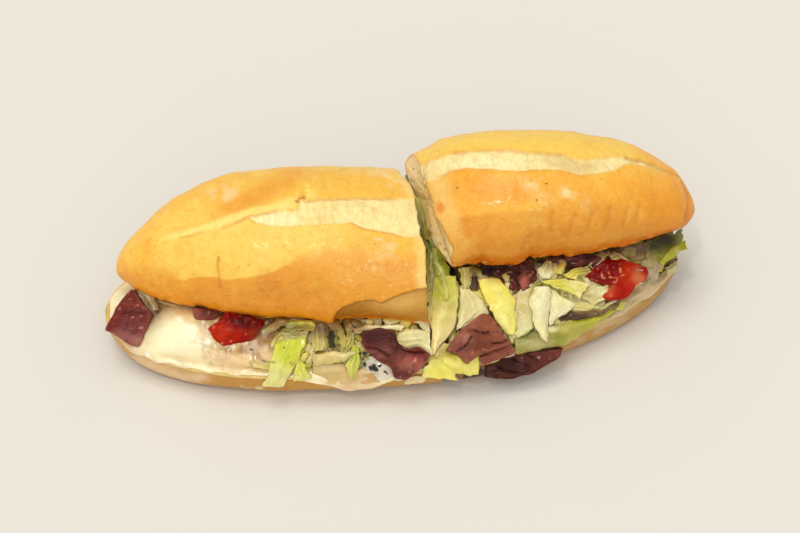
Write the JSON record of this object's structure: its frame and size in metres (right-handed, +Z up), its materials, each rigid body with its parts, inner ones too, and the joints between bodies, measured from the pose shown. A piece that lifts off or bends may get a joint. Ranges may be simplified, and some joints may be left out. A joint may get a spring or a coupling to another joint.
{
  "type": "roast beef sandwich",
  "caption": "Long crusty roll, split lengthwise and cut across, filled with roast beef, shredded lettuce, tomato and a thick white sauce.",
  "frame": {"origin": "on the plane that the roll rests on, under the middle of the whole seen from above", "axes": "+X along the roll towards the half whose top sits higher, +Y to the back, +Z up"},
  "size_m": [0.29, 0.12, 0.0806],
  "materials": {
    "crust": "baked golden crust, satin, with a paler slash along the top",
    "beef": "moist sliced roast beef, brown with a pink cut face",
    "lettuce": "wet pale green to yellow leaf",
    "sauce": "thick glossy cream-white sauce",
    "tomato": "wet red flesh and skin"
  },
  "bodies": {
    "root": {"beef_back": "beef", "beef_bit": "beef", "beef_edge": "beef", "beef_front": "beef", "beef_low": "beef", "beef_middle": "beef", "beef_slices_left": "beef", "beef_slices_right": "beef", "beef_tip": "beef", "heel_left": "crust", "heel_right": "crust", "leaf_end": "lettuce", "leaf_front": "lettuce", "leaf_gap": "lettuce", "leaf_long": "lettuce", "leaf_pale": "lettuce", "leaf_rib": "lettuce", "leaf_square": "lettuce", "leaf_yellow": "lettuce", "lettuce_left": "lettuce", "lettuce_right": "lettuce", "lid_left": "crust", "lid_right": "crust", "sauce_left": "sauce", "sauce_right": "sauce", "tomato_left": "tomato", "tomato_right": "tomato"}
  },
  "joints": []
}
